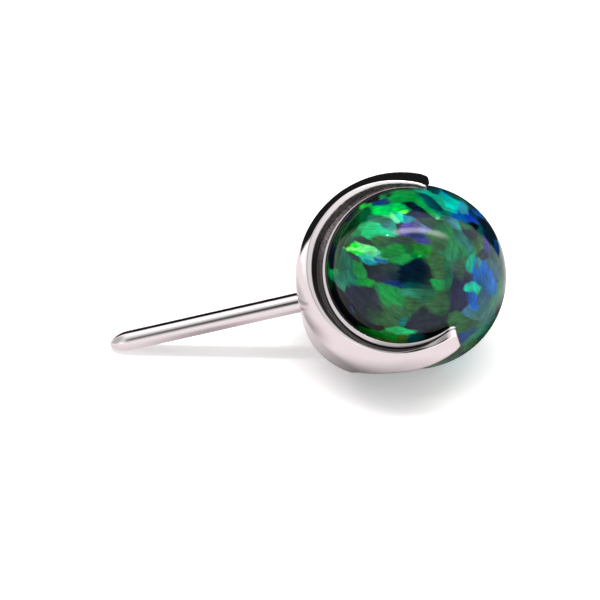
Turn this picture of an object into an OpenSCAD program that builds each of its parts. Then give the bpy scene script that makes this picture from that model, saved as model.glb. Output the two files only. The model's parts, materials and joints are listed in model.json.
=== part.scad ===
/* [Stone] */
// Diameter of the polished opal ball
ball_d = 5.0; // [4.8:0.05:5.0]

/* [Rim of the setting] */
// Radius of the rim at its widest
rim_r = 2.835; // [2.8:0.005:2.85]
// Height up to which the rim keeps that radius
rim_wide_h = 0.2; // [0.1:0.05:0.3]
// Radius of the outer wall just behind the front slope
wall_r = 2.755; // [2.7:0.005:2.8]
// Height of that place
wall_h = 0.9; // [0.8:0.05:1.0]
// Distance of the rim's centre from the ball's centre, towards the pin
rim_offset = 0.32; // [0.28:0.01:0.36]
// Height of the rim's crest in front of the ball's centre
crest_h = 1.54; // [1.5:0.01:1.6]
// Outer radius of the flat crest
crest_r = 2.4; // [2.36:0.01:2.44]
// Offset of the crest's centre towards the pin
crest_offset = 0.2; // [0.16:0.01:0.24]
// Lean of the slope outside the crest, in degrees from the direction the face looks in
crest_lean = 38.3; // [34:0.1:42]
// Height of the arms' back edge in front of the ball's centre
arm_back_h = 0.64; // [0.5:0.02:0.7]
// Distance of the cut across the prong ends from the ball's centre
prong_end = 1.03; // [0.9:0.01:1.1]
// Length of the bevel on the prong ends' front corner
prong_front_bevel = 0.24; // [0.1:0.02:0.4]
// Length of the bevel on the prong ends' back corner
prong_back_bevel = 0.1; // [0.06:0.01:0.2]

/* [Seat and lip] */
// Space between the ball and the metal round it
seat_gap = 0.02; // [0.01:0.01:0.03]
// Height of the thin lip that holds the ball
lip_h = 1.3; // [1.28:0.01:1.32]
// Outer radius of the lip at its top
lip_r = 2.2; // [2.18:0.01:2.22]
// Width of the lip's outer slope
lip_slope = 0.05; // [0.03:0.01:0.07]
// Height of the floor of the crescent recess outside the lip
recess_floor_h = 1.22; // [1.18:0.01:1.24]
// Radius of the recess at its floor
recess_r = 2.24; // [2.2:0.01:2.28]
// Radius of the recess at the crest
recess_top_r = 2.29; // [2.26:0.01:2.34]
// Offset of the recess's centre towards the pin
recess_offset = 0.13; // [0.1:0.01:0.16]

/* [Base] */
// Distance of the base's end face from the ball's centre
base_end = 3.18; // [3.1:0.02:3.3]
// Radius of the base's two shoulders, seen from the front
shoulder_r = 1.6; // [1.5:0.02:1.7]
// Distance of each shoulder's centre to the side of the pin
shoulder_side = 0.6; // [0.5:0.02:0.7]
// Height of the base's front edge
base_front_h = 0.73; // [0.6:0.02:0.9]
// Depth of the base's back face behind the ball's centre
base_back_h = 1.27; // [1.1:0.02:1.4]
// Radius of the rounding round the base
base_round = 0.8; // [0.6:0.02:0.9]
// Radius of the scoop that leads from the base into the arms at the back
scoop_r = 1.55; // [1.5:0.05:1.9]
// Distance of the scoop's centre from the ball's centre, towards the pin
scoop_at = 0.65; // [0.5:0.05:0.8]

/* [Pin] */
// Diameter of the pin
pin_d = 0.55; // [0.5:0.01:0.6]
// Distance of the pin's tip from the ball's centre
pin_reach = 8.67; // [8:0.01:9.5]
// Length of the rounded tip
tip_l = 0.54; // [0.4:0.02:0.7]
// Radius of the tip's nose
nose_r = 0.15; // [0.1:0.01:0.2]
// How deep the pin sits in the base
socket_l = 0.14; // [0.12:0.01:0.15]
// Space round the pin in its socket
socket_gap = 0.01; // [0.01:0.005:0.02]

/* [Resting pose] */
// Slope of the pin down to its tip, in degrees
rest_slope = 15.73; // [0:0.01:20]
// Turn of the face upwards about the pin, in degrees
rest_roll = 51.8; // [0:0.1:90]
// Distance of the ball's centre from the middle of the whole length
ball_x = 2.926; // [2.8:0.001:3.1]
// Distance of the ball's centre from the middle of the whole width
ball_y = 0.219; // [0:0.001:0.4]

/* [Hidden] */
$fn = 96;
eps = 0.01;
ball_r = ball_d / 2;
seat_r = ball_r + seat_gap;
pin_r = pin_d / 2;
shoulder_at = base_end - shoulder_r;
base_h = base_front_h + base_back_h;
reach = 2 * rim_r;

// In each sub-part +X points along the pin, +Y to one prong and +Z out of the face.
// This turns that frame into the pose in which the piece lies.
module lying() {
    translate([ball_x, ball_y, ball_r])
        rotate([0, -rest_slope, 0])
            rotate([90 - rest_roll, 0, 0])
                rotate([0, 0, 180])
                    children();
}

// The rim's half section: an outer wall that leans in a little in front and is rounded behind
module rim_section() {
    round_x = rim_r - base_round;
    round_y = base_round - base_back_h;
    front_r = wall_r - (crest_h - wall_h) * (rim_r - wall_r) / (wall_h - rim_wide_h);
    polygon([
        [0, -base_back_h], [round_x, -base_back_h], [round_x, round_y], [rim_r, round_y], [rim_r, rim_wide_h],
        [wall_r, wall_h], [front_r, crest_h], [0, crest_h]
    ]);
    translate([round_x, round_y])
        circle(r = base_round);
}

// The rim, with a slope all round outside its crest
module rim() {
    section_h = crest_h + base_back_h;
    intersection() {
        translate([rim_offset, 0, 0])
            rotate_extrude()
                rim_section();
        translate([crest_offset, 0, -base_back_h])
            cylinder(h = section_h, r1 = crest_r + section_h * tan(crest_lean), r2 = crest_r);
    }
}

// A flat disc's half section, rounded above and below
module shoulder_section() {
    round_x = shoulder_r - base_round;
    translate([0, -base_back_h])
        square([round_x, base_h]);
    translate([0, base_round - base_back_h])
        square([shoulder_r, base_h - 2 * base_round]);
    for (y = [base_round - base_back_h, base_front_h - base_round])
        translate([round_x, y])
            circle(r = base_round);
}

// The base: two rounded shoulders and the flat-ended block between them
module base() {
    for (side = [-1, 1])
        translate([shoulder_at, side * shoulder_side, 0])
            rotate_extrude()
                shoulder_section();
    translate([shoulder_at, shoulder_side, 0])
        rotate([90, 0, 0])
            linear_extrude(2 * shoulder_side)
                intersection() {
                    shoulder_section();
                    translate([0, -base_back_h])
                        square([shoulder_r, base_h]);
                }
}

// The waste outside a bevelled corner of width w and height h, across the whole setting
module corner_waste(w, h) {
    translate([0, reach, 0])
        rotate([90, 0, 0])
            linear_extrude(2 * reach)
                polygon([[-w, 2 * h], [2 * w, -h], [-w, -h]]);
}

// What is cut away at the sides: behind the arms, with a round lead into the base, and past the prong ends
module side_waste() {
    translate([scoop_at, reach, arm_back_h - scoop_r])
        rotate([90, 0, 0])
            cylinder(h = 2 * reach, r = scoop_r);
    translate([scoop_at - reach, -reach, arm_back_h - reach])
        cube([reach, 2 * reach, reach]);
    translate([-prong_end - reach, -reach, -reach])
        cube([reach, 2 * reach, 2 * reach]);
    translate([-prong_end, 0, arm_back_h])
        corner_waste(prong_back_bevel, prong_back_bevel);
    translate([-prong_end, 0, crest_h])
        mirror([0, 0, 1])
            corner_waste(prong_front_bevel, prong_front_bevel / 2);
}

// The crescent recess between the rim's crest and the lip
module recess() {
    recess_h = crest_h - recess_floor_h;
    grow = (recess_top_r - recess_r) / recess_h;
    difference() {
        translate([recess_offset, 0, recess_floor_h])
            cylinder(h = recess_h + eps, r1 = recess_r, r2 = recess_top_r + eps * grow);
        translate([0, 0, recess_floor_h - eps])
            cylinder(h = lip_h - recess_floor_h + eps, r1 = lip_r + lip_slope, r2 = lip_r);
    }
}

// The round hole for the pin in the base's end face
module socket() {
    translate([base_end - socket_l, 0, 0])
        rotate([0, 90, 0])
            cylinder(h = socket_l + eps, r = pin_r + socket_gap);
}

module opal_ball() {
    color([0.05, 0.45, 0.3])
        lying()
            sphere(d = ball_d);
}

module setting() {
    color([0.82, 0.79, 0.8])
        lying()
            difference() {
                union() {
                    rim();
                    base();
                }
                sphere(r = seat_r);
                side_waste();
                recess();
                socket();
            }
}

// The pin's half section along its axis: a straight shank and a bullet-shaped tip
module pin_section() {
    start = base_end - socket_l + seat_gap;
    nose_at = tip_l - nose_r;
    ogive_r = (nose_at * nose_at + pin_r * pin_r - nose_r * nose_r) / (2 * (pin_r - nose_r));
    meet = ogive_r / (ogive_r - nose_r);
    translate([0, start])
        square([pin_r, pin_reach - tip_l - start + eps]);
    translate([0, pin_reach - tip_l]) {
        intersection() {
            translate([pin_r - ogive_r, 0])
                circle(r = ogive_r);
            square([pin_r, nose_at * meet]);
        }
        intersection() {
            translate([0, nose_at])
                circle(r = nose_r);
            square([pin_r, tip_l]);
        }
    }
}

module pin() {
    color([0.84, 0.8, 0.82])
        lying()
            rotate([0, 90, 0])
                rotate_extrude()
                    pin_section();
}

opal_ball();
setting();
pin();
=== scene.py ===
"""A threadless piercing end, an opal ball in a C-shaped claw with a plain pin, lying on a pale table."""

import json
import math

import bmesh
import bpy
import numpy as np
from mathutils import Matrix, Vector


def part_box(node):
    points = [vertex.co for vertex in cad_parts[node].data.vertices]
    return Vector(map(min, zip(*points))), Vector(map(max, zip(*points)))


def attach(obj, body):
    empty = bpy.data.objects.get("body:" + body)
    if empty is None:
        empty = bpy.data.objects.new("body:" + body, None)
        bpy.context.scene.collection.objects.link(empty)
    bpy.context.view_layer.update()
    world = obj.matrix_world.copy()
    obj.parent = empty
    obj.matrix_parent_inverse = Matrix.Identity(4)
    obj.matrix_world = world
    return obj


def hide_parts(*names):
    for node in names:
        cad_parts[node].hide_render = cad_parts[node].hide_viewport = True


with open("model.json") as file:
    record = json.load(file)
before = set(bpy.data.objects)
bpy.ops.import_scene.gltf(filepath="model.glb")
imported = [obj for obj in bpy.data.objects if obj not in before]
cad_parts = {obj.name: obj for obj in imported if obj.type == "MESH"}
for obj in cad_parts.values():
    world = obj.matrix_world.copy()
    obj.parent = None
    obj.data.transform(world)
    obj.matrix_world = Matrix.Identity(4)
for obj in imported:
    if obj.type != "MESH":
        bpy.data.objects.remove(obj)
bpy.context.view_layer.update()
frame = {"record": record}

MM = 0.001

# The part's own frame: P along the pin, U to the upper prong, N out of the open face
REST_ROLL = 51.8
ball_low, ball_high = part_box("opal_ball")
CENTRE = np.array((ball_low + ball_high) / 2)
P_AXIS = np.array(frame["record"]["mounts"][0]["axis"], float)
P_AXIS /= np.linalg.norm(P_AXIS)
LEVEL = np.cross([0.0, 0.0, 1.0], P_AXIS)
LEVEL /= np.linalg.norm(LEVEL)
STEEP = np.cross(P_AXIS, LEVEL)
ROLL = math.radians(REST_ROLL)
N_AXIS = math.cos(ROLL) * LEVEL + math.sin(ROLL) * STEEP
U_AXIS = np.cross(P_AXIS, N_AXIS)
AXES = np.array([P_AXIS, U_AXIS, N_AXIS])

# Sizes of the part, in millimetres
BALL_R = 2.5
SEAT_R = 2.508
RIM_R = 2.835
RIM_AT = 0.32
RIM_FLARE = 0.08
WALL_H = 0.9
TOP_H = 1.54
SLOPE_START = math.radians(44)
ARM_BACK_H = 0.64
PRONG_END = 1.03
PRONG_SKEW = 0.04
LIP_SLOPE = 0.03
FLOOR_H = 1.22
RECESS_LEAN = 0.05
BASE_END = 3.18
SHOULDER_R = 1.6
SHOULDER_AT = BASE_END - SHOULDER_R
SHOULDER_SIDE = 0.6
BASE_FRONT_H = 0.73
BASE_BACK_H = 1.27
BASE_ROUND = 0.8
SCOOP_R = 1.55
SCOOP_AT = 0.65
PIN_R = 0.275
PIN_START = 3.06
PIN_REACH = 8.67
TIP_L = 0.54
NOSE_R = 0.15

# Degrees over which the sizes below are smoothed
SMOOTH_OVER = 19


def round_the_ball(*places):
    """A size that changes smoothly round the ball.

    Each place is an angle in degrees, from the pin to the upper prong, and the size there.
    """
    angles, values = zip(*places)
    fine = np.arange(-150.0, 151.0)
    weights = np.hanning(SMOOTH_OVER)
    smooth = np.convolve(np.interp(fine, angles, values), weights / weights.sum(), mode="same")
    return lambda angle: float(np.interp(angle, fine, smooth))


# Height of the lip and its outer radius, height of the crest, and radii of the recess and of the crest
LIP_H = round_the_ball(
    (-150, 1.26), (-112, 1.27), (-96, 1.28), (-80, 1.305), (-60, 1.33), (85, 1.33), (112, 1.36), (150, 1.36)
)
LIP_R = round_the_ball(
    (-150, 2.22), (-112, 2.22), (-100, 2.24), (-80, 2.25), (-60, 2.25), (-10, 2.225), (28, 2.205),
    (62, 2.175), (92, 2.16), (104, 2.13), (150, 2.12),
)
CREST_H = round_the_ball(
    (-150, 1.29), (-112, 1.31), (-104, 1.37), (-96, 1.48), (-88, 1.54), (90, 1.54), (104, 1.51), (114, 1.47),
    (150, 1.47),
)
RECESS_R = round_the_ball(
    (-150, 2.25), (-112, 2.25), (-104, 2.29), (-96, 2.37), (-80, 2.43), (-60, 2.41), (-30, 2.41), (-7, 2.44),
    (27, 2.45), (62, 2.34), (97, 2.19), (112, 2.15), (150, 2.14),
)
CREST_R = round_the_ball(
    (-150, 2.37), (-112, 2.42), (-96, 2.46), (-80, 2.48), (-55, 2.47), (-38, 2.485), (-16, 2.525), (0, 2.57),
    (27, 2.615), (62, 2.51), (97, 2.285), (112, 2.24), (150, 2.22),
)


def place(points):
    """Points given as (p, u, n) in millimetres, in the world in metres."""
    return CENTRE + (np.asarray(points) @ AXES) * MM


def add_values(mesh, name, kind, values):
    """A number, a vector or a colour for each point of the mesh."""
    keys = {"FLOAT": "value", "FLOAT_VECTOR": "vector", "FLOAT_COLOR": "color"}
    store = mesh.attributes.new(name, kind, "POINT")
    store.data.foreach_set(keys[kind], np.asarray(values, np.float32).ravel())


def add_piece(name, points, faces, node):
    """A smooth mesh from (p, u, n) points that stands for a node. Its attribute pun keeps those points."""
    mesh = bpy.data.meshes.new(name)
    mesh.from_pydata(place(points).tolist(), [], faces)
    shape = bmesh.new()
    shape.from_mesh(mesh)
    bmesh.ops.recalc_face_normals(shape, faces=shape.faces)
    shape.to_mesh(mesh)
    shape.free()
    mesh.shade_smooth()
    add_values(mesh, "pun", "FLOAT_VECTOR", points)
    piece = bpy.data.objects.new(name, mesh)
    bpy.context.scene.collection.objects.link(piece)
    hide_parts(node)
    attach(piece, "root")
    return piece


def grid_faces(rows, columns, closed_rows=False):
    """Quads between the columns of points, numbered column by column."""
    faces = []
    last_row = rows if closed_rows else rows - 1
    for c in range(columns - 1):
        for r in range(last_row):
            a = c * rows + r
            b = c * rows + (r + 1) % rows
            faces.append((a, b, b + rows, a + rows))
    return faces


# Setting: one section after another, each in the plane of a ray that turns about the ball

COLUMNS = 301
# Width of the rounding where the rim meets the base
OUTER_BLEND = 0.32
# How steeply the wall's flare starts
FLARE_POWER = 5
# How much smaller the back is, the height at which that starts, and the depth over which it grows
BACK_SHRINK = 0.11
BACK_SHRINK_FROM = -0.15
BACK_SHRINK_OVER = 0.8
# Least radius in the maths of a round that has ended
LEAST_R = 0.01
# Distance at which the search along a section's ray starts, and how far in the flat back is drawn
RAY_MIDDLE = 2.3
FLAT_BACK_TO = 1.2
# Share of the pin's direction above which a section can meet the base's flat end
END_FACE_FROM = 0.3
END_ROUND = 0.05
# Least width of the lip, of the recess's floor and of the crest, and the floor's width at full depth
LEAST_LIP = 0.03
LEAST_FLOOR = 0.002
LEAST_CREST = 0.02
RECESS_OPEN = 0.06
# How low a closed recess lies under the lip
CLOSED_STEP = 0.01
# Slope of the crest down to the outside on the upper side
CREST_TILT = 0.09
# Height down to which a hollow between rim and base is filled
FILL_TO = -0.4
# How much of the hollow between rim and base is filled, against the angle from the pin to the lower prong
FILL_SHARE = ((8, 26), (0.0, 1.0))
# Roundings of the corners before the outside, the back, the seat, the lip's top and its slope, the recess's
# floor and its wall, and the crest, and how much more the one before the back is rounded next to the pin
CORNER_ROUNDS = (0.035, 0.2, 0.03, 0.02, 0.02, 0.012, 0.02, 0.02)
BACK_ROUND_MORE = 0.25
# Places of the points on each rounded corner
CORNER_STEPS = (0.1, 0.2, 0.35, 0.5, 0.65, 0.8, 0.9)
# Points along the outside, the back and the seat, and across the front from the lip's top to the crest
OUTSIDE_ROWS = 90
BACK_ROWS = 14
SEAT_ROWS = 16
FRONT_ROWS = (5, 4, 8, 10, 7)
# Which of a section's parts lie in the recess: the lip's slope, the floor and the wall
RECESS_PARTS = (4, 5, 6)
# Roundings of the prong ends at the front, at the back and on the outside: length and depth
PRONG_FRONT = (0.27, 0.15)
PRONG_BACK = (0.12, 0.09)
PRONG_OUTSIDE = (0.2, 0.12)
# Height over which the front's rounding grows, and the side place and width over which the outside's does
FRONT_FADE = 0.4
OUTSIDE_FROM = 2.3
OUTSIDE_FADE = 0.3
# Steps of the rounding round the prong ends, in degrees
END_TURNS = (30, 60, 90)


def ray_to_circle(start, cos_a, sin_a, centre, radius, side=0.0):
    """Where a ray from (start, 0) leaves a circle round (centre, side), or -1 if it misses."""
    along = (centre - start) * cos_a + side * abs(sin_a)
    under = radius**2 - (centre - start) ** 2 - side**2 + along**2
    return np.where(under > 0, along + np.sqrt(np.maximum(under, 0)), -1.0)


def smooth_max(a, b, width):
    """The larger of two values, rounded where they cross."""
    near = np.maximum(width - np.abs(a - b), 0) / width
    return np.maximum(a, b) + near**2 * width / 4


def outer_levels():
    """Heights down the outside, with the radius of the rim and of the base's shoulders at each."""
    back_y = BASE_ROUND - BASE_BACK_H
    wall_y = np.linspace(TOP_H, back_y, 110)
    wall_x = RIM_R - RIM_FLARE * ((wall_y - back_y) / (WALL_H - back_y)) ** FLARE_POWER
    turn = np.radians(np.linspace(0, -90, 60))[1:]
    height = np.concatenate([wall_y, back_y + BASE_ROUND * np.sin(turn)])
    rim = np.concatenate([wall_x, RIM_R - BASE_ROUND + BASE_ROUND * np.cos(turn)])
    past = np.maximum(height - (BASE_FRONT_H - BASE_ROUND), 0) + np.maximum(back_y - height, 0)
    round_x = SHOULDER_R - BASE_ROUND
    gone = past > BASE_ROUND + 1e-6
    shoulder = np.where(gone, LEAST_R, round_x + np.sqrt(np.maximum(BASE_ROUND**2 - past**2, 0)))
    shrink = BACK_SHRINK * np.clip((BACK_SHRINK_FROM - height) / BACK_SHRINK_OVER, 0, 1)
    return height, rim - shrink, np.maximum(shoulder - shrink, LEAST_R)


def outer_path(start, cos_a, sin_a, levels):
    """The outside from the crest to the back, and then in along the flat back, as (distance, height)."""
    height, rim, shoulder = levels
    to_rim = ray_to_circle(start, cos_a, sin_a, RIM_AT, rim)
    to_base = ray_to_circle(start, cos_a, sin_a, SHOULDER_AT, shoulder, SHOULDER_SIDE)
    if cos_a > END_FACE_FROM:
        to_end = (SHOULDER_AT + shoulder - start) / cos_a
        to_base = np.where(to_end * abs(sin_a) < SHOULDER_SIDE, to_end, to_base)
    across = smooth_max(to_rim, to_base, OUTER_BLEND)
    flat = np.linspace(across[-1], FLAT_BACK_TO, 40)[1:]
    return np.vstack([
        np.stack([across, height], 1),
        np.stack([flat, np.full_like(flat, -BASE_BACK_H)], 1),
    ])


def in_waste(start, cos_a, path):
    """How deep each point of a path lies in the cut behind the arms, with its round lead into the base."""
    p = start + path[:, 0] * cos_a
    scoop = SCOOP_R - np.hypot(p - SCOOP_AT, path[:, 1] - ARM_BACK_H + SCOOP_R)
    return np.where(p < SCOOP_AT, ARM_BACK_H - path[:, 1], scoop)


def back_path(start, cos_a):
    """The surface behind the arms, from the base's back inwards, as (distance, height)."""
    turn = np.radians(np.linspace(-14, 90, 105))
    p = SCOOP_AT + SCOOP_R * np.cos(turn)
    height = ARM_BACK_H - SCOOP_R + SCOOP_R * np.sin(turn)
    far = 4.5
    scoop_r = (p - start) / max(cos_a, 1e-6)
    keep = scoop_r < far
    flat = np.linspace(min(scoop_r[-1], far), 0.5, 60)[1:]
    return np.vstack([
        np.stack([scoop_r[keep], height[keep]], 1),
        np.stack([flat, np.full_like(flat, ARM_BACK_H)], 1),
    ])


def first_crossing(path, values):
    """The path's index just before values turn positive, and the point where they do."""
    i = int(np.argmax(values > 0))
    share = values[i - 1] / (values[i - 1] - values[i])
    return i, path[i - 1] + (path[i] - path[i - 1]) * share


def resample(path, count):
    """The path with a set number of points, evenly spaced."""
    step = np.hypot(*np.diff(path, axis=0).T)
    along = np.concatenate([[0], np.cumsum(step)])
    want = np.linspace(0, along[-1], count)
    return np.stack([np.interp(want, along, path[:, k]) for k in (0, 1)], 1)


def round_corners(parts, sizes):
    """Joins paths end to end into a loop. The corner before each path is rounded over that path's size."""
    rows = []
    count = len(parts)
    for i, part in enumerate(parts):
        step = np.hypot(*np.diff(part, axis=0).T)
        along = np.concatenate([[0], np.cumsum(step)])
        ends = np.array([sizes[i], sizes[(i + 1) % count]])
        ends *= min(0.9 * along[-1] / ends.sum(), 1.0)
        want = np.linspace(ends[0], along[-1] - ends[1], len(part))
        rows.append(np.stack([np.interp(want, along, part[:, k]) for k in (0, 1)], 1))
    joined = []
    for i, part in enumerate(rows):
        corner = parts[i][-1]
        following = rows[(i + 1) % count][0]
        joined.append(part)
        for t in CORNER_STEPS:
            joined.append([(1 - t) ** 2 * part[-1] + 2 * t * (1 - t) * corner + t**2 * following])
    return np.vstack(joined)


def reach(start, cos_a, sin_a, radius):
    """Where a ray from (start, 0) meets a radius about the ball that changes with the angle."""
    across = RAY_MIDDLE
    for _ in range(8):
        angle = math.degrees(math.atan2(across * sin_a, start + across * cos_a))
        across = float(ray_to_circle(start, cos_a, sin_a, 0.0, radius(angle)))
    return across


def front_slope(crest, wall):
    """The outside's front: a curve that leaves the crest's edge at a slope and runs into the wall."""
    foot = wall[0]
    down = wall[1] - wall[0]
    steep = np.array([math.cos(SLOPE_START), -math.sin(SLOPE_START)])
    a, b = np.linalg.solve(np.stack([steep, down], 1), foot - crest)
    control = crest + steep * a
    t = np.linspace(0, 1, 40)[:, None]
    return (1 - t) ** 2 * crest + 2 * t * (1 - t) * control + t**2 * foot


def filled(path, share):
    """The path with its hollow places in front of FILL_TO bridged, by a share of their depth."""
    front = path[path[:, 1] > FILL_TO]
    bridge = []
    for point in front:
        while len(bridge) > 1:
            (x0, y0), (x1, y1) = bridge[-2:]
            if (x1 - x0) * (y0 - point[1]) > (point[0] - x0) * (y0 - y1):
                break
            bridge.pop()
        bridge.append(tuple(point))
    across, height = np.array(bridge[::-1]).T
    path[: len(front), 0] += share * (np.interp(front[:, 1], height, across) - front[:, 0])
    return path


def section(angle, levels):
    """One closed section of the setting, as (p, u, n) points, and which of its rows lie in the recess."""
    swing = abs(angle) / (math.pi / 2)
    end = PRONG_END - math.copysign(PRONG_SKEW, angle)
    start = -(end - END_ROUND) * swing**3
    cos_a, sin_a = math.cos(angle), math.sin(angle)
    outer = outer_path(start, cos_a, sin_a, levels)
    cut, back_corner = first_crossing(outer, in_waste(start, cos_a, outer))
    wall = np.vstack([outer[:cut][outer[:cut, 1] < WALL_H], back_corner])
    turned = math.degrees(math.atan2(RAY_MIDDLE * sin_a, start + RAY_MIDDLE * cos_a))
    crest_h = CREST_H(turned)
    crest_out = reach(start, cos_a, sin_a, CREST_R)
    recess_out = reach(start, cos_a, sin_a, RECESS_R)
    tilt = CREST_TILT * max(math.sin(math.radians(turned)), 0.0) * (crest_out - recess_out)
    outside = np.vstack([front_slope(np.array([crest_out, crest_h - tilt]), wall)[:-1], wall])
    outside = resample(filled(outside, np.interp(-turned, *FILL_SHARE)), OUTSIDE_ROWS)

    back = back_path(start, cos_a)
    nearest = int(np.argmin(np.hypot(*(back - back_corner).T)))
    back = np.vstack([back_corner, back[nearest + 1 :]])
    seat = ray_to_circle(start, cos_a, sin_a, 0.0, np.sqrt(np.maximum(SEAT_R**2 - back[:, 1] ** 2, 0)))
    meets, inner_corner = first_crossing(back, seat - back[:, 0])
    back = resample(np.vstack([back[:meets], inner_corner]), BACK_ROWS)
    lip_h = LIP_H(turned)
    rise = np.linspace(inner_corner[1], lip_h, SEAT_ROWS)
    seat_wall = np.stack([ray_to_circle(start, cos_a, sin_a, 0.0, np.sqrt(SEAT_R**2 - rise**2)), rise], 1)

    lip_in = seat_wall[-1, 0]
    lip_out = max(reach(start, cos_a, sin_a, LIP_R), lip_in + LEAST_LIP)
    floor_in = lip_out + LIP_SLOPE
    recess_top = max(recess_out, floor_in + 2 * LEAST_FLOOR)
    floor_out = max(recess_top - RECESS_LEAN, floor_in + LEAST_FLOOR)
    open_share = min((floor_out - floor_in) / RECESS_OPEN, 1.0)
    floor_h = (1 - open_share) * (lip_h - CLOSED_STEP) + open_share * FLOOR_H
    corners = [
        (lip_in, lip_h), (lip_out, lip_h), (floor_in, floor_h), (floor_out, floor_h), (recess_top, crest_h),
        (max(crest_out, recess_top + LEAST_CREST), crest_h - tilt),
    ]
    front = [np.linspace(low, high, count) for low, high, count in zip(corners[:-1], corners[1:], FRONT_ROWS)]
    parts = [outside, back, seat_wall, *front]
    sizes = list(CORNER_ROUNDS)
    sizes[1] += (1 - swing) * BACK_ROUND_MORE
    path = round_corners(parts, sizes)
    recess = np.concatenate([
        np.full(len(part) + len(CORNER_STEPS), float(i in RECESS_PARTS)) for i, part in enumerate(parts)
    ])
    points = np.stack([start + path[:, 0] * cos_a, path[:, 0] * sin_a, path[:, 1]], 1)
    return points, recess


def shape_prong_ends(points):
    """Rounds the prong ends' corners at the front, at the back and on the outside."""
    p, u, n = points.T
    past = -p - PRONG_END + np.where(u > 0, PRONG_SKEW, -PRONG_SKEW)

    def curl(length, depth, weight):
        near = np.clip((past + length) / length, 0, 1)
        return depth * (1 - np.sqrt(1 - near**2)) * np.clip(weight, 0, 1)

    front = curl(*PRONG_FRONT, (n - WALL_H) / FRONT_FADE)
    back = curl(*PRONG_BACK, (WALL_H - n) / (WALL_H - ARM_BACK_H))
    outside = curl(*PRONG_OUTSIDE, (abs(u) - OUTSIDE_FROM) / OUTSIDE_FADE)
    return np.stack([p, u - np.sign(u) * outside, n - front + back], 1)


def inset_loop(loop, size):
    """A section in the plane of a prong's end, moved inwards by size, in u and n."""
    side = np.roll(loop, -1, axis=0) - np.roll(loop, 1, axis=0)
    length = np.maximum(np.hypot(side[:, 1], side[:, 2]), 1e-9)
    inwards = np.stack([np.zeros(len(loop)), -side[:, 2] / length, side[:, 1] / length], 1)
    middle = loop.mean(axis=0)
    facing = ((middle - loop) * inwards).sum() > 0
    return loop + size * inwards * (1 if facing else -1)


def make_setting():
    """The setting as one closed mesh of sections from one prong's end to the other's."""
    levels = outer_levels()
    columns = []
    marks = []
    for angle in np.radians(np.linspace(-90, 90, COLUMNS)):
        points, recess = section(angle, levels)
        columns.append(points)
        marks.append(recess)
    ends = []
    for loop in (columns[0], columns[-1]):
        rounded = []
        for turn in np.radians(END_TURNS):
            ring = inset_loop(loop, END_ROUND * (1 - math.cos(turn)))
            ring[:, 0] -= END_ROUND * math.sin(turn)
            rounded.append(ring)
        ends.append(rounded)
    columns = ends[0][::-1] + columns + ends[1]
    marks = [marks[0]] * len(END_TURNS) + marks + [marks[-1]] * len(END_TURNS)
    rows = len(columns[0])
    points = shape_prong_ends(np.vstack(columns))
    faces = grid_faces(rows, len(columns), closed_rows=True)
    last = (len(columns) - 1) * rows
    faces.append(tuple(range(rows)))
    faces.append(tuple(range(last, last + rows))[::-1])
    piece = add_piece("claw_setting", points, faces, "setting")
    add_values(piece.data, "recess", "FLOAT", np.concatenate(marks))
    return piece


setting = make_setting()


# Pin: turned about its axis

PIN_SIDES = 96


def make_pin():
    """The pin from inside the base to its bullet-shaped tip."""
    nose_at = TIP_L - NOSE_R
    ogive = (nose_at**2 + PIN_R**2 - NOSE_R**2) / (2 * (PIN_R - NOSE_R))
    meet = math.asin(nose_at / (ogive - NOSE_R))
    profile = [(p, PIN_R) for p in np.linspace(PIN_START, PIN_REACH - TIP_L, 40)]
    for turn in np.linspace(0, meet, 14)[1:]:
        profile.append((PIN_REACH - TIP_L + ogive * math.sin(turn), PIN_R - ogive + ogive * math.cos(turn)))
    for turn in np.linspace(meet, math.pi / 2, 12)[1:]:
        profile.append((PIN_REACH - NOSE_R + NOSE_R * math.sin(turn), NOSE_R * math.cos(turn)))
    points = [
        (p, r * math.cos(a), r * math.sin(a))
        for a in np.linspace(0, 2 * math.pi, PIN_SIDES, endpoint=False)
        for p, r in profile
    ]
    rows = len(profile)
    faces = grid_faces(rows, PIN_SIDES)
    for r in range(rows - 1):
        a = (PIN_SIDES - 1) * rows + r
        faces.append((a, a + 1, r + 1, r))
    faces.append(tuple(range(0, PIN_SIDES * rows, rows)))
    return add_piece("pin_shank", np.array(points), faces, "pin")


pin = make_pin()


# Ball: a sphere of six square patches, with the stone's flakes of colour stored at its points

SIDE_QUADS = 128

# Axes of the photograph's view, in the part's frame, as rows of right, up and towards the camera
VIEW_AXES = np.array([
    [-0.9622, -0.1644, -0.2170],
    [-0.2162, 0.9458, 0.2420],
    [-0.1655, -0.2798, 0.9456],
])


def square_sphere(quads):
    """Unit directions and quads of a sphere that is swept from the faces of a cube."""
    step = np.tan(np.linspace(-math.pi / 4, math.pi / 4, quads + 1))
    index = {}
    points = []
    faces = []
    for axis in range(3):
        for sign in (-1.0, 1.0):
            number = np.empty((quads + 1, quads + 1), int)
            for i, a in enumerate(step):
                for j, b in enumerate(step):
                    v = np.empty(3)
                    v[axis] = sign
                    v[(axis + 1) % 3] = a
                    v[(axis + 2) % 3] = b
                    v /= np.linalg.norm(v)
                    key = tuple(np.round(v, 6))
                    if key not in index:
                        index[key] = len(points)
                        points.append(v)
                    number[i, j] = index[key]
            for i in range(quads):
                for j in range(quads):
                    quad = (number[i, j], number[i + 1, j], number[i + 1, j + 1], number[i, j + 1])
                    faces.append(tuple(int(k) for k in (quad if sign > 0 else quad[::-1])))
    return np.array(points), faces


def waves(points, size, seed, count=14):
    """Smooth noise of about the given size, from -1 to 1, as a sum of random waves."""
    rng = np.random.default_rng(seed)
    ways = rng.normal(size=(count, 3)) * (2.0 / size)
    phase = rng.uniform(0, 2 * math.pi, count)
    return np.sin(points @ ways.T + phase).sum(axis=1) / math.sqrt(count)


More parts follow.
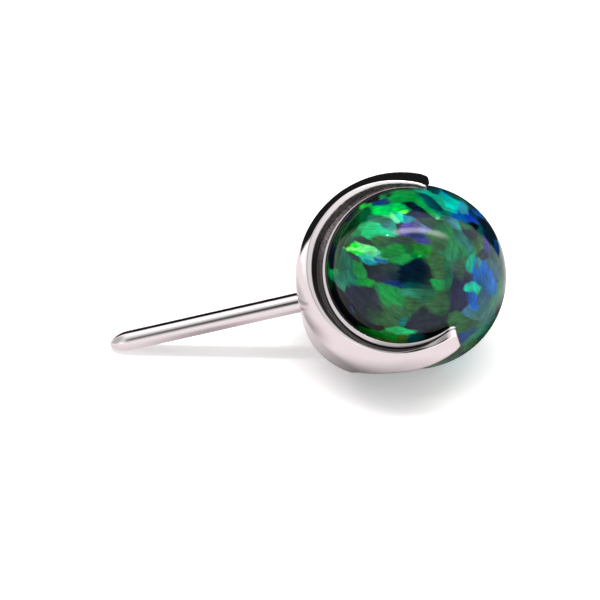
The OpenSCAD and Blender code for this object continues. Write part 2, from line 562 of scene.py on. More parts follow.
def layers(points, rows, shift=0):
    """The sum of several waves, each given as a strength, a size and a seed."""
    return sum(strength * waves(points, size, seed + shift) for strength, size, seed in rows)


# Colours of the opal's flakes, as 8-bit display values
OPAL = {
    "black": (6, 9, 12),
    "navy": (4, 20, 42),
    "deep blue": (8, 42, 112),
    "blue": (10, 84, 168),
    "vivid blue": (5, 48, 175),
    "cyan": (0, 138, 180),
    "aqua": (0, 200, 178),
    "teal": (0, 112, 105),
    "bright teal": (0, 165, 135),
    "dark teal": (0, 62, 70),
    "forest": (3, 58, 28),
    "deep green": (0, 88, 42),
    "green": (8, 138, 62),
    "leaf": (0, 118, 22),
    "vivid green": (0, 212, 40),
    "spring": (20, 195, 84),
    "lime": (110, 246, 84),
    "olive": (66, 104, 12),
    "moss": (44, 92, 52),
    "sea": (30, 104, 80),
    "grey teal": (44, 92, 92),
    "steel": (52, 104, 138),
    "slate": (36, 40, 60),
    "ash": (46, 62, 62),
    "violet": (52, 44, 128),
    "lilac": (88, 72, 152),
}

# Flakes on the side that the photograph shows: colour, place in ball radii to the right and up, half length,
# half width, and the grain's angle in degrees
FLAKES = [
    ("green", -0.12, 0.85, 0.17, 0.06, 0), ("forest", -0.25, 0.87, 0.05, 0.03, 0),
    ("green", 0.07, 0.78, 0.10, 0.045, -36), ("green", 0.19, 0.69, 0.10, 0.035, -38),
    ("lime", 0.24, 0.64, 0.022, 0.016, -20), ("deep blue", -0.33, 0.79, 0.09, 0.035, 25),
    ("vivid green", -0.33, 0.70, 0.19, 0.055, -4), ("vivid green", -0.16, 0.715, 0.09, 0.035, -12),
    ("lime", -0.22, 0.63, 0.09, 0.022, -52), ("lime", -0.12, 0.69, 0.05, 0.014, -5),
    ("aqua", -0.155, 0.64, 0.07, 0.035, -45), ("cyan", -0.08, 0.61, 0.07, 0.035, -30),
    ("navy", -0.04, 0.75, 0.05, 0.04, -20), ("navy", 0.06, 0.70, 0.10, 0.035, -25),
    ("slate", 0.02, 0.66, 0.13, 0.03, -12), ("ash", 0.17, 0.60, 0.12, 0.03, -14),
    ("deep green", -0.52, 0.65, 0.12, 0.05, 40), ("forest", -0.64, 0.56, 0.11, 0.06, 55),
    ("forest", -0.77, 0.40, 0.13, 0.06, 65), ("sea", -0.38, 0.615, 0.13, 0.03, -8),
    ("steel", -0.26, 0.56, 0.07, 0.05, -20), ("slate", -0.17, 0.54, 0.05, 0.04, 0),
    ("spring", -0.47, 0.505, 0.17, 0.065, -14), ("green", -0.60, 0.47, 0.06, 0.04, 30),
    ("ash", -0.56, 0.415, 0.12, 0.035, -22), ("moss", -0.68, 0.38, 0.06, 0.05, 60),
    ("lime", -0.52, 0.285, 0.16, 0.05, -8), ("lime", -0.42, 0.29, 0.07, 0.03, -25),
    ("vivid green", -0.62, 0.335, 0.07, 0.03, -22), ("vivid green", -0.58, 0.25, 0.10, 0.022, -24),
    ("aqua", -0.47, 0.205, 0.13, 0.04, -24), ("cyan", -0.43, 0.155, 0.11, 0.035, -26),
    ("blue", -0.35, 0.17, 0.07, 0.03, -30), ("ash", -0.62, 0.19, 0.11, 0.02, -45),
    ("sea", -0.73, 0.15, 0.13, 0.06, -65), ("green", -0.59, 0.09, 0.08, 0.06, -60),
    ("sea", -0.68, 0.01, 0.10, 0.05, -50), ("green", -0.54, -0.05, 0.09, 0.04, -10),
    ("deep green", -0.80, 0.22, 0.09, 0.04, 80), ("navy", -0.87, 0.20, 0.12, 0.04, 85),
    ("leaf", -0.93, 0.08, 0.05, 0.03, 80), ("green", -0.84, 0.0, 0.07, 0.05, -60),
    ("teal", -0.79, -0.07, 0.06, 0.04, -60), ("forest", -0.89, -0.08, 0.09, 0.03, -75),
    ("black", -0.84, -0.22, 0.12, 0.07, -65), ("moss", -0.31, 0.36, 0.12, 0.05, -28),
    ("green", -0.22, 0.29, 0.12, 0.06, -25), ("green", -0.15, 0.21, 0.13, 0.045, -10),
    ("deep green", -0.05, 0.29, 0.08, 0.05, -20), ("leaf", 0.06, 0.26, 0.10, 0.07, -20),
    ("leaf", 0.02, 0.20, 0.08, 0.035, -10), ("vivid green", 0.065, 0.185, 0.022, 0.016, 20),
    ("leaf", 0.14, 0.24, 0.035, 0.04, 60), ("ash", -0.14, 0.385, 0.14, 0.035, -4),
    ("lilac", -0.06, 0.51, 0.12, 0.035, -4), ("lilac", 0.03, 0.53, 0.07, 0.03, -30),
    ("deep blue", 0.05, 0.43, 0.08, 0.025, -18), ("violet", 0.12, 0.375, 0.09, 0.035, -14),
    ("navy", 0.02, 0.08, 0.15, 0.07, -8), ("navy", -0.02, -0.02, 0.15, 0.06, 0),
    ("slate", -0.32, 0.08, 0.15, 0.07, -8), ("slate", -0.27, -0.01, 0.14, 0.07, -6),
    ("dark teal", 0.03, -0.09, 0.12, 0.03, -4), ("deep blue", -0.20, -0.08, 0.10, 0.025, -8),
    ("dark teal", 0.22, 0.93, 0.12, 0.04, -16), ("cyan", 0.38, 0.85, 0.16, 0.035, -34),
    ("blue", 0.38, 0.895, 0.06, 0.02, -30), ("bright teal", 0.20, 0.85, 0.15, 0.022, -30),
    ("bright teal", 0.33, 0.775, 0.17, 0.028, -34), ("aqua", 0.42, 0.73, 0.09, 0.02, -38),
    ("dark teal", 0.22, 0.755, 0.16, 0.04, -30), ("teal", 0.32, 0.675, 0.12, 0.03, -14),
    ("cyan", 0.53, 0.75, 0.07, 0.035, -56), ("black", 0.45, 0.875, 0.20, 0.02, -30),
    ("blue", 0.49, 0.65, 0.09, 0.045, -12), ("vivid blue", 0.61, 0.61, 0.09, 0.03, -35),
    ("deep blue", 0.60, 0.69, 0.08, 0.03, -40), ("blue", 0.68, 0.70, 0.09, 0.025, -48),
    ("dark teal", 0.60, 0.785, 0.07, 0.025, -42), ("navy", 0.77, 0.56, 0.14, 0.05, -55),
    ("dark teal", 0.71, 0.46, 0.09, 0.03, -75), ("black", 0.64, 0.55, 0.08, 0.025, -38),
    ("navy", 0.82, 0.40, 0.12, 0.05, -65), ("deep blue", 0.89, 0.33, 0.08, 0.02, -75),
    ("dark teal", 0.86, 0.26, 0.10, 0.03, -75), ("steel", 0.43, 0.57, 0.07, 0.05, -40),
    ("sea", 0.35, 0.615, 0.08, 0.02, -14), ("moss", 0.55, 0.55, 0.08, 0.025, -38),
    ("slate", 0.60, 0.46, 0.10, 0.05, -48), ("sea", 0.36, 0.49, 0.10, 0.07, -40),
    ("sea", 0.50, 0.42, 0.13, 0.06, -50), ("moss", 0.69, 0.35, 0.08, 0.07, -60),
    ("violet", 0.78, 0.33, 0.09, 0.022, -70), ("slate", 0.74, 0.24, 0.06, 0.03, 30),
    ("moss", 0.28, 0.34, 0.13, 0.07, -30), ("sea", 0.43, 0.27, 0.10, 0.11, 80),
    ("bright teal", 0.605, 0.15, 0.08, 0.032, 80), ("steel", 0.68, 0.13, 0.07, 0.03, 80),
    ("grey teal", 0.86, 0.10, 0.10, 0.05, -70), ("blue", 0.70, 0.01, 0.10, 0.06, -60),
    ("blue", 0.82, -0.08, 0.12, 0.055, -75), ("deep green", 0.355, 0.08, 0.10, 0.028, -78),
    ("moss", 0.25, 0.10, 0.06, 0.09, 0), ("ash", 0.48, 0.12, 0.05, 0.12, 0),
    ("green", 0.26, -0.08, 0.075, 0.05, -18), ("deep green", 0.365, -0.04, 0.07, 0.03, 90),
    ("sea", 0.10, -0.17, 0.13, 0.05, -4), ("moss", 0.30, -0.26, 0.08, 0.12, 0),
    ("slate", 0.57, 0.01, 0.06, 0.028, 80), ("slate", 0.45, -0.23, 0.13, 0.085, 80),
    ("blue", 0.61, -0.23, 0.10, 0.045, -75), ("steel", 0.58, -0.38, 0.07, 0.06, -40),
    ("bright teal", 0.57, -0.12, 0.04, 0.03, 0), ("bright teal", 0.64, -0.14, 0.055, 0.035, -50),
    ("grey teal", 0.74, -0.27, 0.10, 0.06, 80), ("grey teal", 0.82, -0.38, 0.12, 0.05, 75),
    ("sea", 0.93, -0.15, 0.16, 0.04, 85), ("deep blue", 0.56, -0.61, 0.09, 0.03, 24),
    ("sea", 0.70, -0.60, 0.13, 0.05, 36), ("moss", 0.62, -0.74, 0.12, 0.04, 36),
    ("moss", 0.48, -0.46, 0.10, 0.10, 0), ("slate", 0.16, -0.47, 0.20, 0.08, 6),
    ("moss", -0.03, -0.29, 0.07, 0.07, 0), ("green", -0.24, -0.20, 0.15, 0.06, -45),
    ("moss", -0.16, -0.34, 0.12, 0.06, -45), ("slate", -0.54, -0.24, 0.18, 0.12, -50),
    ("moss", -0.33, -0.46, 0.14, 0.06, -20), ("ash", -0.42, -0.38, 0.12, 0.05, -40),
    ("teal", -0.12, -0.47, 0.04, 0.05, 0), ("black", -0.66, -0.40, 0.18, 0.07, -48),
    ("deep blue", -0.66, -0.36, 0.07, 0.022, -55), ("black", -0.45, -0.54, 0.12, 0.03, -18),
    ("leaf", -0.35, -0.61, 0.26, 0.045, -10), ("spring", -0.17, -0.565, 0.12, 0.028, 2),
    ("olive", -0.28, -0.67, 0.16, 0.022, -6), ("olive", -0.12, -0.65, 0.06, 0.04, 0),
    ("dark teal", 0.03, -0.66, 0.10, 0.035, 10), ("black", 0.26, -0.60, 0.14, 0.05, 18),
    ("moss", 0.30, -0.92, 0.22, 0.04, 14), ("black", 0.0, -0.98, 0.3, 0.03, 0),
]
# Depths of the placed and of the random flakes, in ball radii
FLAKE_DEPTH = 0.30
WILD_DEPTH = 0.12
# Random flakes on the other side and round the edge: seed, number, half lengths, widths as shares of these
SEED = 11
WILD_FLAKES = 420
WILD_LENGTHS = (0.09, 0.2)
WILD_WIDTHS = (0.3, 0.6)
# Distance from the view's middle beyond which they lie in front too, and the depth to which they are dark
WILD_FROM = 0.97
EDGE_TO = -0.25
WILD_COLOURS = [
    "black", "navy", "navy", "deep blue", "blue", "cyan", "teal", "bright teal", "dark teal", "dark teal",
    "forest", "deep green", "deep green", "green", "green", "leaf", "vivid green", "spring", "moss", "moss",
    "sea", "sea", "grey teal", "steel", "slate", "slate", "ash", "violet", "olive", "aqua",
]
EDGE_COLOURS = ["black", "navy", "dark teal", "forest", "deep green", "moss", "sea", "teal", "slate"]
# Colours that a flake's other end is drawn to, how far it is, and how much the brightness changes along it
TINTS = ["green", "cyan", "deep blue", "leaf", "teal", "moss", "vivid green", "forest"]
TINT_SHARES = (0.1, 0.55)
SLOPE = 0.45
# Distances from the face's middle, in ball radii, at which the painted shade beside the lip starts and is
# full
SHADE_START = 0.765
SHADE_FULL = 0.855
# Strength of the painted shade beside the lip, at angles from the pin to the upper prong
SHADE_ROUND = [
    (-118, 0.0), (-112, 0.3), (-80, 0.35), (-62, 0.3), (-50, 0.8), (-30, 0.9), (-18, 0.55), (-6, 0.3),
    (4, 0.85), (20, 0.93), (75, 0.9), (100, 0.6), (112, 0.4), (118, 0.0),
]
# Waves that bend the flakes and waves that mottle their colour: strength, size and seed
BENDS = ((0.016, 0.20, 20), (0.006, 0.06, 30))
MOTTLE = ((0.16, 0.22, 60), (0.10, 0.07, 61))
# Length and width of the fibres that fray the flakes' edges, and how much they do
FIBRE = (0.16, 0.022)
FRAY = 0.16
# Width of the soft border between two flakes, and how much more it is in places
FEATHER = 0.16
FEATHER_MORE = 0.34
OPAL_LEVEL = 0.9


def to_linear(colour):
    """A display colour of 0 to 255 as scene-linear numbers."""
    value = np.asarray(colour, float) / 255
    return np.where(value <= 0.04045, value / 12.92, ((value + 0.055) / 1.055) ** 2.4)


def flake_table():
    """Centres, grain axes, sizes and the colours at both ends of all flakes, in the view axes."""
    rng = np.random.default_rng(SEED)
    centres, grains, sizes, colours = [], [], [], []
    for colour, x, y, length, width, angle in FLAKES:
        z = math.sqrt(max(1 - x * x - y * y, 0.0))
        grain = np.array([math.cos(math.radians(angle)), math.sin(math.radians(angle)), 0.0])
        centres.append((x, y, z))
        grains.append(grain)
        sizes.append((length, width, FLAKE_DEPTH))
        colours.append(to_linear(OPAL[colour]))
    while len(centres) < len(FLAKES) + WILD_FLAKES:
        v = rng.normal(size=3)
        v /= np.linalg.norm(v)
        if v[2] > 0 and math.hypot(v[0], v[1]) < WILD_FROM:
            continue
        grain = np.cross(v, rng.normal(size=3))
        length = rng.uniform(*WILD_LENGTHS)
        names = EDGE_COLOURS if v[2] > EDGE_TO else WILD_COLOURS
        centres.append(v)
        grains.append(grain / np.linalg.norm(grain))
        sizes.append((length, length * rng.uniform(*WILD_WIDTHS), WILD_DEPTH))
        colours.append(to_linear(OPAL[names[int(rng.integers(len(names)))]]))
    colours = np.array(colours)
    tints = to_linear([OPAL[name] for name in TINTS])[rng.integers(len(TINTS), size=len(colours))]
    level = colours.sum(axis=1, keepdims=True) / tints.sum(axis=1, keepdims=True)
    other_end = colours + (tints * level - colours) * rng.uniform(*TINT_SHARES, (len(colours), 1))
    slope = rng.uniform(-SLOPE, SLOPE, (len(colours), 1))
    shapes = (np.array(centres), np.array(grains), np.array(sizes))
    return *shapes, colours * (1 - slope), other_end * (1 + slope)


def opal_pattern(seen):
    """For unit directions in the view axes: the flakes' colour, and coordinates that run along the grain."""
    centres, grains, sizes, near_end, far_end = flake_table()
    warped = seen.copy()
    for axis in range(3):
        warped[:, axis] += layers(seen, BENDS, axis)
    best = np.full(len(seen), 1e3)
    second = np.full(len(seen), 1e3)
    colour = np.zeros((len(seen), 3))
    next_colour = np.zeros((len(seen), 3))
    chosen = np.zeros(len(seen), int)
    for i, (centre, grain, size) in enumerate(zip(centres, grains, sizes)):
        facing = centre if i >= len(FLAKES) else np.array([0.0, 0.0, 1.0])
        across = np.cross(facing, grain)
        off = warped - centre
        along = off @ grain
        side = off @ across
        depth = off @ facing
        near = (abs(along) < 6 * size[0]) & (abs(side) < 8 * size[1]) & (abs(depth) < 1.5)
        pick = near.nonzero()[0]
        if not len(pick):
            continue
        fibres = np.stack([along[pick] / FIBRE[0], side[pick] / FIBRE[1], np.full(len(pick), float(i))], 1)
        ragged = 1 + FRAY * waves(fibres, 1.6, 40, 8)
        flat = np.hypot(along[pick] / size[0], side[pick] / size[1])
        away = (flat + abs(depth[pick]) / size[2] * 0.5) * ragged
        share = np.clip(0.5 + 0.42 * along[pick] / size[0], 0, 1)[:, None]
        tone = near_end[i] + (far_end[i] - near_end[i]) * share
        first = away < best[pick]
        runner_up = ~first & (away < second[pick])
        next_colour[pick] = np.where(
            first[:, None], colour[pick], np.where(runner_up[:, None], tone, next_colour[pick])
        )
        second[pick] = np.where(first, best[pick], np.where(runner_up, away, second[pick]))
        colour[pick] = np.where(first[:, None], tone, colour[pick])
        chosen[pick] = np.where(first, i, chosen[pick])
        best[pick] = np.where(first, away, best[pick])
    feather = FEATHER + FEATHER_MORE * np.clip(0.5 + 0.7 * waves(seen, 0.3, 50), 0, 1)
    gap = np.clip((second - best) / feather, 0, 1)
    share = 0.5 * (1 - gap * gap * (3 - 2 * gap))
    colour += (next_colour - colour) * share[:, None]
    colour *= (1 + layers(seen, MOTTLE))[:, None]
    side_axis = np.cross(centres[chosen], grains[chosen])
    grain = np.stack([(seen * grains[chosen]).sum(axis=1), (seen * side_axis).sum(axis=1), chosen * 0.37], 1)
    return np.clip(OPAL_LEVEL * colour, 0.0003, 1), grain


def lip_shade(directions):
    """Painted shade on the stone for (p, u, n) directions: less brightness beside the lip, where metal hides
    the light.
    """
    out = np.hypot(directions[:, 0], directions[:, 1])
    turn = np.degrees(np.arctan2(directions[:, 1], directions[:, 0]))
    deep = np.interp(turn, *zip(*SHADE_ROUND))
    near = np.clip((out - SHADE_START) / (SHADE_FULL - SHADE_START), 0, 1)
    near = near * near * (3 - 2 * near) * (directions[:, 2] > 0)
    return 1 - deep * near


def make_ball():
    """The ball, with the flakes' colour darkened by painted shade beside the lip, and the grain's coordinates
    at its points.
    """
    directions, faces = square_sphere(SIDE_QUADS)
    piece = add_piece("opal_sphere", BALL_R * directions, faces, "opal_ball")
    colour, grain = opal_pattern(directions @ VIEW_AXES.T)
    # Painted shade beside the lip, multiplied into the stone's colour
    colour *= lip_shade(directions)[:, None]
    add_values(piece.data, "flake_and_lip_shade", "FLOAT_COLOR", np.column_stack([colour, np.ones(len(colour))]))
    add_values(piece.data, "grain", "FLOAT_VECTOR", grain)
    return piece


ball = make_ball()


# Materials

METAL_CLOUDS = ((0.80, 0.745, 0.76, 1), (0.85, 0.80, 0.805, 1))
METAL_GRAIN = (0.62, 0.57, 0.6, 1)
RECESS_DARK = ((0.055, 0.05, 0.05, 1), (0.12, 0.105, 0.11, 1))
RECESS_UNPOLISHED = ((0.2, 0.18, 0.185, 1), (0.7, 0.65, 0.66, 1))
PIN_CLOUDS = ((0.80, 0.74, 0.755, 1), (0.86, 0.815, 0.82, 1))
PIN_LINES = (0.6, 0.56, 0.58, 1)
# Strength and depth of the fine lines on the setting and on the pin, and of the grit in the recess
SETTING_LINES = (0.05, 0.01 * MM)
PIN_GROOVES = (0.06, 0.01 * MM)
GRIT = (0.9, 0.06 * MM)


class Nodes:
    """A material's or world's node tree, with short calls for the nodes that the materials use."""

    def __init__(self, owner):
        owner.use_nodes = True
        self.tree = owner.node_tree

    def node(self, kind, *inputs, **settings):
        made = self.tree.nodes.new(kind)
        for name, value in settings.items():
            setattr(made, name, value)
        for socket, value in inputs:
            self.feed(made.inputs[socket], value)
        return made

    def feed(self, socket, value):
        if isinstance(value, bpy.types.NodeSocket):
            self.tree.links.new(value, socket)
        else:
            socket.default_value = value

    def feed_all(self, shader, values):
        for name, value in values.items():
            self.feed(shader.inputs[name], value)

    def attribute(self, name):
        return self.node("ShaderNodeAttribute", attribute_name=name)

    def math(self, operation, a, b=0.0):
        return self.node("ShaderNodeMath", (0, a), (1, b), operation=operation).outputs[0]

    def scaled(self, vector, factors):
        made = self.node("ShaderNodeVectorMath", (0, vector), (1, factors), operation="MULTIPLY")
        return made.outputs[0]

    def noise(self, vector, scale, detail=3.0, rough=0.55):
        inputs = (("Vector", vector), ("Scale", scale), ("Detail", detail), ("Roughness", rough))
        return self.node("ShaderNodeTexNoise", *inputs).outputs["Fac"]

    def ramp(self, value, low, high, to_low, to_high, smooth=False):
        made = self.node(
            "ShaderNodeMapRange",
            ("Value", value), ("From Min", low), ("From Max", high), ("To Min", to_low), ("To Max", to_high),
            interpolation_type="SMOOTHSTEP" if smooth else "LINEAR",
        )
        return made.outputs["Result"]

    def mix(self, share, a, b):
        made = self.node("ShaderNodeMix", data_type="RGBA")
        self.feed(made.inputs[0], share)
        self.feed(made.inputs[6], a)
        self.feed(made.inputs[7], b)
        return made.outputs[2]

    def facing(self, way, direction):
        """The cosine of the angle between a way and a fixed direction."""
        axis = Vector(direction).normalized()
        made = self.node("ShaderNodeVectorMath", (0, way), (1, axis), operation="DOT_PRODUCT")
        return made.outputs["Value"]

    def bump(self, height, strength, distance, normal=None):
        inputs = (("Height", height), ("Strength", strength), ("Distance", distance))
        made = self.node("ShaderNodeBump", *inputs)
        if normal is not None:
            self.feed(made.inputs["Normal"], normal)
        return made.outputs["Normal"]


def new_material(name):
    """A new material, its node tree and its main shader."""
    material = bpy.data.materials.new(name)
    nodes = Nodes(material)
    return material, nodes, nodes.tree.nodes["Principled BSDF"]


def setting_metal():
    """Polished metal, dark and unpolished in the recess, with fine marks that run round the ball."""
    material, nodes, shader = new_material("setting_metal")
    place_in_part = nodes.attribute("pun").outputs["Vector"]
    recess = nodes.attribute("recess").outputs["Fac"]
    parts = nodes.node("ShaderNodeSeparateXYZ", (0, place_in_part)).outputs
    squares = [nodes.math("POWER", part, 2.0) for part in (parts[0], parts[1])]
    radius = nodes.math("SQRT", nodes.math("ADD", *squares))
    turn = nodes.math("ARCTAN2", parts[1], parts[0])
    around = nodes.node("ShaderNodeCombineXYZ", (0, radius), (1, turn), (2, parts[2])).outputs[0]
    lines = nodes.noise(nodes.scaled(around, (40.0, 1.5, 40.0)), 1.0, 4.0)
    grain = nodes.noise(place_in_part, 60.0, 3.0)
    clouds = nodes.noise(place_in_part, 1.6, 2.0)
    grit = nodes.noise(place_in_part, 14.0, 5.0, 0.7)
    upper = nodes.ramp(turn, 0.1, 0.9, 0.0, 1.0, smooth=True)
    rough_part = nodes.math("MULTIPLY", upper, recess)

    polished = nodes.mix(clouds, *METAL_CLOUDS)
    polished = nodes.mix(nodes.ramp(grain, 0.35, 0.75, 0.0, 0.12), polished, METAL_GRAIN)
    unpolished = nodes.mix(nodes.ramp(grit, 0.42, 0.72, 0.0, 1.0), *RECESS_UNPOLISHED)
    plain_dark = nodes.mix(nodes.ramp(lines, 0.35, 0.7, 0.0, 1.0), *RECESS_DARK)
    dark = nodes.mix(upper, plain_dark, unpolished)
    smooth_rough = nodes.ramp(grain, 0.3, 0.8, 0.05, 0.11)
    recess_rough = nodes.ramp(lines, 0.3, 0.7, 0.2, 0.36)
    mixed = nodes.node("ShaderNodeMix", data_type="FLOAT")
    nodes.feed(mixed.inputs[0], recess)
    nodes.feed(mixed.inputs[2], smooth_rough)
    nodes.feed(mixed.inputs[3], recess_rough)
    fine = nodes.bump(lines, *SETTING_LINES)
    height = nodes.math("MULTIPLY", grit, rough_part)
    nodes.feed_all(shader, {
        "Base Color": nodes.mix(recess, polished, dark),
        "Metallic": 1.0,
        "Roughness": mixed.outputs[0],
        "Normal": nodes.bump(height, *GRIT, fine),
    })
    return material


def pin_metal():
    """Polished wire with faint drawing lines along it."""
    material, nodes, shader = new_material("pin_metal")
    place_in_part = nodes.attribute("pun").outputs["Vector"]
    lines = nodes.noise(nodes.scaled(place_in_part, (2.0, 60.0, 60.0)), 1.0, 4.0)
    grain = nodes.noise(place_in_part, 70.0, 3.0)
    clouds = nodes.noise(place_in_part, 1.3, 2.0)
    colour = nodes.mix(clouds, *PIN_CLOUDS)
    colour = nodes.mix(nodes.ramp(lines, 0.4, 0.75, 0.0, 0.12), colour, PIN_LINES)
    nodes.feed_all(shader, {
        "Base Color": colour,
        "Metallic": 1.0,
        "Roughness": nodes.ramp(grain, 0.3, 0.8, 0.07, 0.13),
        "Normal": nodes.bump(lines, *PIN_GROOVES),
    })
    return material


def opal():
    """Polished opal: flakes of colour with streaks along their grain, under a clear glossy surface, with a
    faint painted glow of that colour.
    """
    material, nodes, shader = new_material("opal")
    flake_and_lip_shade = nodes.attribute("flake_and_lip_shade").outputs["Color"]
    grain = nodes.attribute("grain").outputs["Vector"]
    place_in_part = nodes.attribute("pun").outputs["Vector"]
    streaks = nodes.noise(nodes.scaled(grain, (9.0, 70.0, 1.0)), 1.0, 4.0, 0.6)
    bands = nodes.noise(nodes.scaled(grain, (5.0, 16.0, 1.0)), 1.0, 2.0)
    specks = nodes.noise(place_in_part, 26.0, 3.0, 0.6)
    light = nodes.ramp(streaks, 0.3, 0.72, 0.62, 1.3)
    light = nodes.math("MULTIPLY", light, nodes.ramp(bands, 0.3, 0.7, 0.75, 1.2))
    light = nodes.math("MULTIPLY", light, nodes.ramp(specks, 0.3, 0.75, 0.85, 1.12))
    colour = nodes.node("ShaderNodeVectorMath", (0, flake_and_lip_shade), ("Scale", light), operation="SCALE").outputs[0]
    nodes.feed_all(shader, {
        "Base Color": colour,
        "Roughness": nodes.ramp(specks, 0.3, 0.8, 0.015, 0.04),
        "IOR": 1.46,
        "Specular IOR Level": 0.24,
        # Painted glow: the stone gives off a little of its own colour as light
        "Emission Color": colour,
        "Emission Strength": 0.12,
    })
    return material


setting.data.materials.append(setting_metal())
pin.data.materials.append(pin_metal())
ball.data.materials.append(opal())


# Table, lights and camera

TABLE_EDGES = {"left": -1.5, "right": 1.5, "front": -1.5, "back": 1.5}
TABLE_COLOURS = ((0.93, 0.925, 0.925, 1), (0.97, 0.965, 0.965, 1))
TABLE_GLOW = 0.3
STAND_EDGES = {"left": -11 * MM, "right": 14 * MM, "front": -60 * MM, "back": 7 * MM}
STAND_COLOURS = ((0.71, 0.665, 0.675, 1), (0.74, 0.695, 0.705, 1))
# Colour of the painted shadows under the piece
PAINTED_SHADOW_COLOUR = (0.01, 0.01, 0.01, 1)
# Painted shadows under the piece, on the sheet that stands for the table in reflections: middle, distances at
# which the fade starts and ends, and the middle's brightness
PAINTED_SHADOWS = [
    ((2.1 * MM, -0.4 * MM, 0.0), 0.25 * MM, 4.0 * MM, 0.03),
    ((5.2 * MM, 0.6 * MM, 0.0), 0.8 * MM, 3.2 * MM, 0.03),
    ((-2.6 * MM, -0.3 * MM, 0.0), 0.1 * MM, 2.6 * MM, 0.45),
    ((-4.8 * MM, 1.9 * MM, 0.0), 0.2 * MM, 3.0 * MM, 0.6),
]
# Dark parts of the tent: direction, radius and softness in degrees
DARK_CAPS = [
    ((0.0, 0.9936, 0.113), 49.5, 2.0),
    ((-0.1, -0.72, 0.68), 22.0, 7.0),
]
# Dimmer parts of the tent: direction, angles at which the dimming ends and is full, and the share left
DIM_CAPS = [
    ((-0.1, -0.72, 0.68), 50.0, 25.0, 0.6),
    ((-0.95, 0.0, 0.3), 46.0, 14.0, 0.42),
]
TENT_GLOW = 1.28
# Light that is left in the darkest parts
DARKEST = 0.012
# The lamp strip's glow, the z over which it rises, and its middle, half width and softness in x and y
STRIP_GLOW = 14.0
STRIP_RISE = (0.3, 0.5)
STRIP_X = (0.1, 0.45, 0.12)
STRIP_Y = (0.10, 0.06, 0.045)
# The small lamp's direction from the ball, its distance and size in metres, and its power
SMALL_LAMP_AT = (-0.4765, 0.076, 0.876)
SMALL_LAMP_DISTANCE = 0.25
SMALL_LAMP_SIZE = (0.006, 0.004)
SMALL_LAMP_POWER = 0.02
# The ball's middle and diameter in the photograph, and the picture's size, in pixels
BALL_IN_PHOTO = (413.8, 276.6)
BALL_PIXELS = 185
PHOTO_SIZE = 600
# A pixel's size at the ball and the camera's distance from it, in metres
PIXEL = 2 * BALL_R / BALL_PIXELS * MM
VIEW_DISTANCE = 0.08
SENSOR = 36.0


def flat_sheet(name, left, right, front, back, colours):
    """A level sheet on the ground with a faint mottle between two colours."""
    mesh = bpy.data.meshes.new(name)
    corners = [(left, front, 0), (right, front, 0), (right, back, 0), (left, back, 0)]
    mesh.from_pydata(corners, [], [(0, 1, 2, 3)])
    sheet = bpy.data.objects.new(name, mesh)
    bpy.context.scene.collection.objects.link(sheet)
    material, nodes, shader = new_material(name)
    where = nodes.node("ShaderNodeTexCoord").outputs["Object"]
    mottle = nodes.mix(nodes.noise(where, 300.0), *colours)
    nodes.feed_all(shader, {"Base Color": mottle, "Roughness": 0.9, "Specular IOR Level": 0.0})
    mesh.materials.append(material)
    return sheet, nodes, shader


def add_floor():
    """A white table, and a sheet that stands for it in reflections, with painted shadows under the piece."""
    table, nodes, shader = flat_sheet("table", **TABLE_EDGES, colours=TABLE_COLOURS)
    table.visible_glossy = False
    nodes.feed_all(shader, {"Emission Color": (1.0, 0.995, 0.995, 1), "Emission Strength": TABLE_GLOW})
    sheet, nodes, shader = flat_sheet("stand", **STAND_EDGES, colours=STAND_COLOURS)
    where = nodes.node("ShaderNodeTexCoord").outputs["Object"]
    colour = shader.inputs["Base Color"].links[0].from_socket
    # Painted shadows: the stand-in sheet darkens towards each middle under the piece
    for middle, inner, outer, core in PAINTED_SHADOWS:
        away = nodes.node("ShaderNodeVectorMath", (0, where), (1, middle), operation="DISTANCE")
        light = nodes.ramp(away.outputs["Value"], inner, outer, core, 1.0, smooth=True)
        colour = nodes.mix(light, PAINTED_SHADOW_COLOUR, colour)
    nodes.feed(shader.inputs["Base Color"], colour)
    sheet.visible_camera = False
    sheet.visible_diffuse = False
    sheet.visible_transmission = False
    sheet.visible_shadow = False


def add_light(name, towards, distance, size, power):
    """A soft lamp in a direction from the ball."""
    data = bpy.data.lights.new(name, "AREA")
    data.shape = "RECTANGLE"
    data.size, data.size_y = size
    data.energy = power
    light = bpy.data.objects.new(name, data)
    way = Vector(towards).normalized()
    light.location = Vector(CENTRE) + way * distance
    light.rotation_euler = (-way).to_track_quat("-Z", "Y").to_euler()
    bpy.context.scene.collection.objects.link(light)


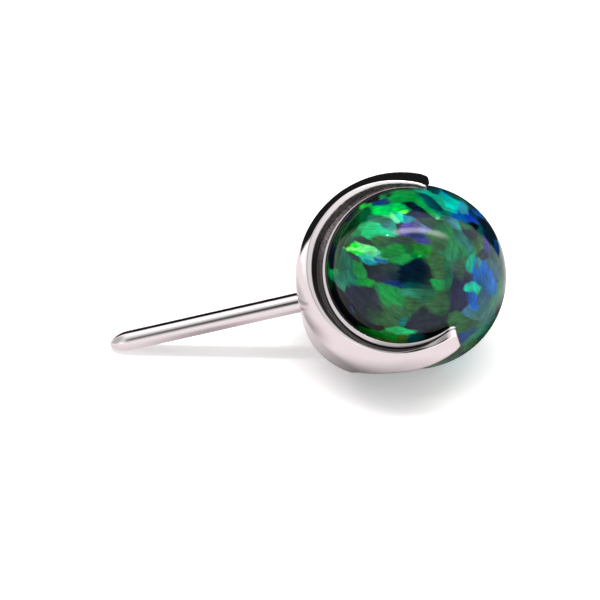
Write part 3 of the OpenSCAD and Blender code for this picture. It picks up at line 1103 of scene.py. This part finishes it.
def add_world():
    """A bright tent with a lamp strip, a dark opening low at the back and one in front for the camera."""
    world = bpy.data.worlds.new("studio")
    bpy.context.scene.world = world
    nodes = Nodes(world)
    way = nodes.node("ShaderNodeTexCoord").outputs["Generated"]
    bright = 1.0
    for towards, radius, edge in DARK_CAPS:
        along = nodes.facing(way, towards)
        inner = math.cos(math.radians(radius - edge))
        outer = math.cos(math.radians(radius + edge))
        bright = nodes.math("MULTIPLY", nodes.ramp(along, outer, inner, 1.0, 0.0, smooth=True), bright)
    for towards, outer, inner, share in DIM_CAPS:
        along = nodes.facing(way, towards)
        edges = [math.cos(math.radians(angle)) for angle in (outer, inner)]
        bright = nodes.math("MULTIPLY", nodes.ramp(along, *edges, 1.0, share, smooth=True), bright)
    x, y, z = nodes.node("ShaderNodeSeparateXYZ", (0, way)).outputs
    lamp = nodes.ramp(z, *STRIP_RISE, 0.0, STRIP_GLOW)
    for value, middle, half, edge in ((x, *STRIP_X), (y, *STRIP_Y)):
        off = nodes.math("ABSOLUTE", nodes.math("SUBTRACT", value, middle))
        lamp = nodes.math("MULTIPLY", lamp, nodes.ramp(off, half - edge, half + edge, 1.0, 0.0, smooth=True))
    bright = nodes.math("ADD", nodes.math("MULTIPLY", bright, TENT_GLOW), lamp)
    background = nodes.tree.nodes["Background"]
    strength = nodes.math("ADD", bright, DARKEST)
    nodes.feed_all(background, {"Color": (1.0, 0.985, 0.985, 1), "Strength": strength})


def add_camera():
    """A camera that sees the ball where the photograph does, at the same size."""
    right, up, back = VIEW_AXES @ AXES
    right /= np.linalg.norm(right)
    back = back - (back @ right) * right
    back /= np.linalg.norm(back)
    up = np.cross(back, right)
    shift = np.array([PHOTO_SIZE / 2 - BALL_IN_PHOTO[0], BALL_IN_PHOTO[1] - PHOTO_SIZE / 2]) * PIXEL
    where = CENTRE + back * VIEW_DISTANCE
    data = bpy.data.cameras.new("camera")
    data.sensor_width = SENSOR
    data.lens = SENSOR * VIEW_DISTANCE / (PHOTO_SIZE * PIXEL)
    data.shift_x = shift[0] / (PHOTO_SIZE * PIXEL)
    data.shift_y = shift[1] / (PHOTO_SIZE * PIXEL)
    data.clip_start = 0.001
    data.clip_end = 10
    camera = bpy.data.objects.new("camera", data)
    camera.matrix_world = Matrix.Translation(where) @ Matrix(np.array([right, up, back]).T.tolist()).to_4x4()
    bpy.context.scene.collection.objects.link(camera)
    bpy.context.scene.camera = camera


add_floor()
add_world()
add_light("small lamp", SMALL_LAMP_AT, SMALL_LAMP_DISTANCE, SMALL_LAMP_SIZE, SMALL_LAMP_POWER)
add_camera()
bpy.context.scene.view_settings.view_transform = "Standard"
